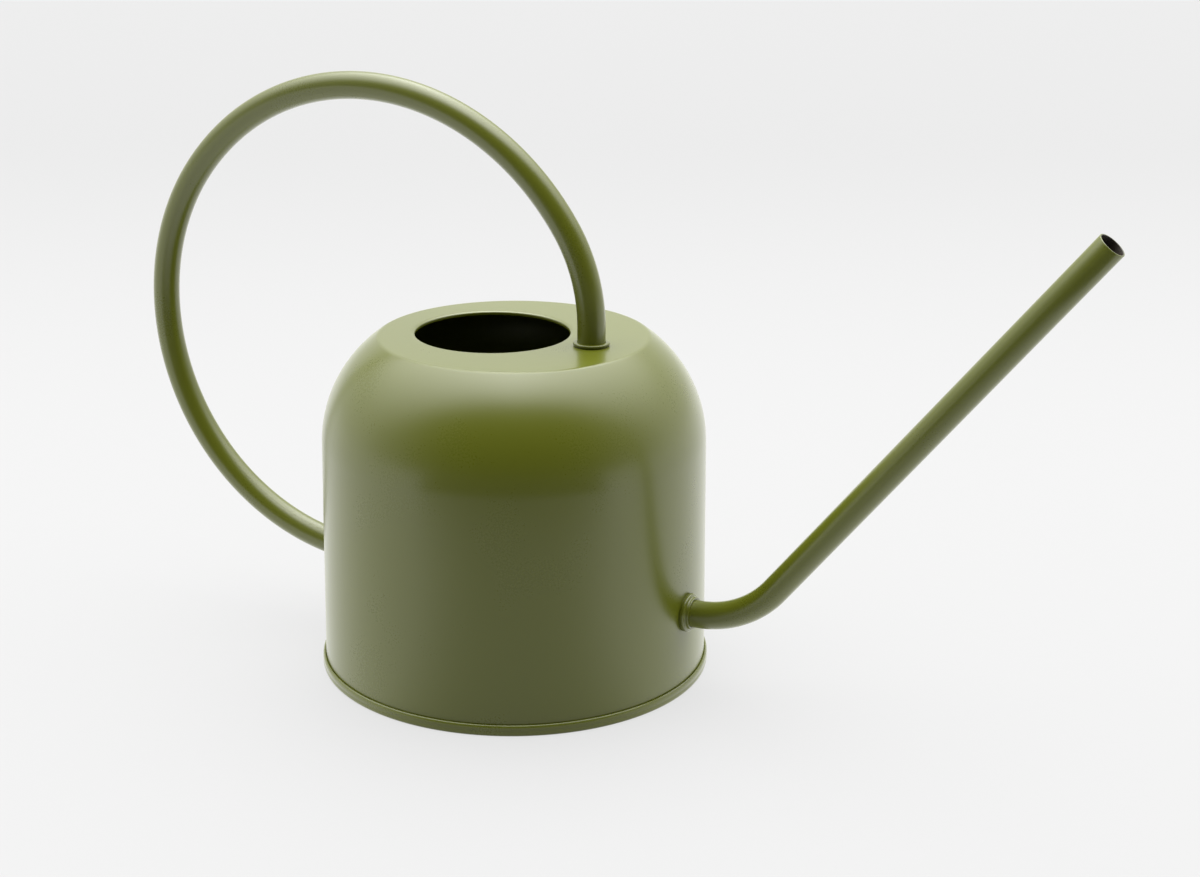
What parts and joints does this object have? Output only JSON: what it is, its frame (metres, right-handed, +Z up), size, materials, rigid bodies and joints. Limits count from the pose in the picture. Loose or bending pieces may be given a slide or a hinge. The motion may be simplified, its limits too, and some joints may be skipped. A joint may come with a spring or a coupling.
{
  "type": "watering can",
  "caption": "Olive-green metal indoor watering can with a domed cylindrical tank, a round filler opening, a large looped tube handle and a long straight spout.",
  "frame": {"origin": "centre of the tank's base at rest level, on the tank's axis", "axes": "+Z up along the tank's axis, +X towards the spout, +Y to the left of someone looking along the spout"},
  "size_m": [0.3974, 0.1524, 0.2262],
  "materials": {
    "olive_coat": "satin powder coat, olive green, with fine orange peel",
    "braze_metal": "dull brazed fillet",
    "seam_rubber": "matt sealing compound"
  },
  "bodies": {
    "root": {"body_shell": "olive_coat", "base_plate": "olive_coat", "spout_tube": "olive_coat", "spout_collar": "olive_coat", "handle_tube": "olive_coat", "handle_foot_collar": "olive_coat", "handle_root_collar": "olive_coat", "spout_braze": "braze_metal", "handle_foot_braze": "braze_metal", "handle_root_braze": "braze_metal", "seam_sealant": "seam_rubber"}
  },
  "joints": []
}
